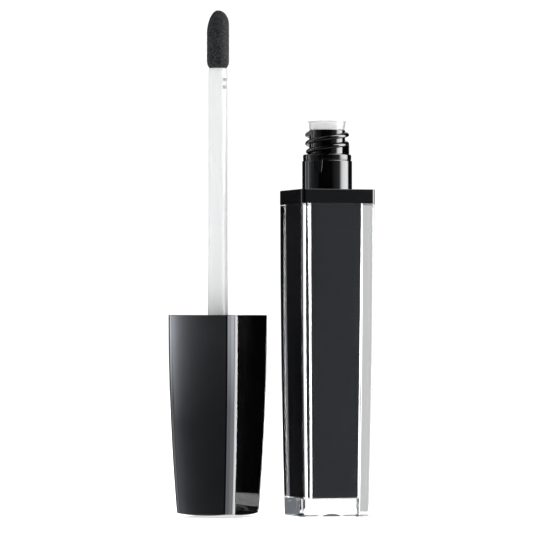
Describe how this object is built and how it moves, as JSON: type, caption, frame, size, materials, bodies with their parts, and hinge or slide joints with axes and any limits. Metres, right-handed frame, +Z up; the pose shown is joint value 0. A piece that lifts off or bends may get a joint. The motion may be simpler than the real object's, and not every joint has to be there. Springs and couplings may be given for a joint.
{
  "type": "lip gloss tube",
  "caption": "Square, thick-walled clear lip gloss tube with a dark inner vial and threaded neck, shown open beside its black capped applicator wand with a flocked tip.",
  "frame": {"origin": "centre of the square tube's underside, on the surface that it stands on", "axes": "+Z up the tube's axis towards its neck; the tube's four faces look along +X, -X, +Y and -Y; the wand stands on the -X side"},
  "size_m": [0.0454, 0.0231, 0.1143],
  "materials": {
    "clear_acrylic": "clear, polished",
    "dark_vial": "dark grey-black, smooth",
    "lip_gloss": "viscous, dark",
    "black_gloss": "piano black, polished",
    "black_matte": "black, moulded",
    "natural_plastic": "natural, frosted translucent",
    "gasket_rubber": "soft foam washer",
    "black_flock": "short black flock fibres"
  },
  "bodies": {
    "tube": {"outer_case": "clear_acrylic", "inner_vial": "dark_vial", "gloss_fill": "lip_gloss", "neck_insert": "black_gloss", "shoulder_collar": "black_gloss", "wiper": "natural_plastic"},
    "washer": {"liner_gasket": "gasket_rubber"},
    "wand": {"cap_shell": "black_gloss", "cap_liner": "black_matte", "stem": "natural_plastic", "tip_core": "natural_plastic", "flock_sleeve": "black_flock"}
  },
  "joints": [
    {"name": "wand_lift", "type": "slide", "parent": "tube", "child": "washer", "axis": [0, 0, 1], "range_m": [0, 0.09]},
    {"name": "wand_twist", "type": "hinge", "parent": "washer", "child": "wand", "pos_m": [-0.0251, 0.00245, 0.0295], "axis": [0, 0, 1], "continuous": true}
  ]
}
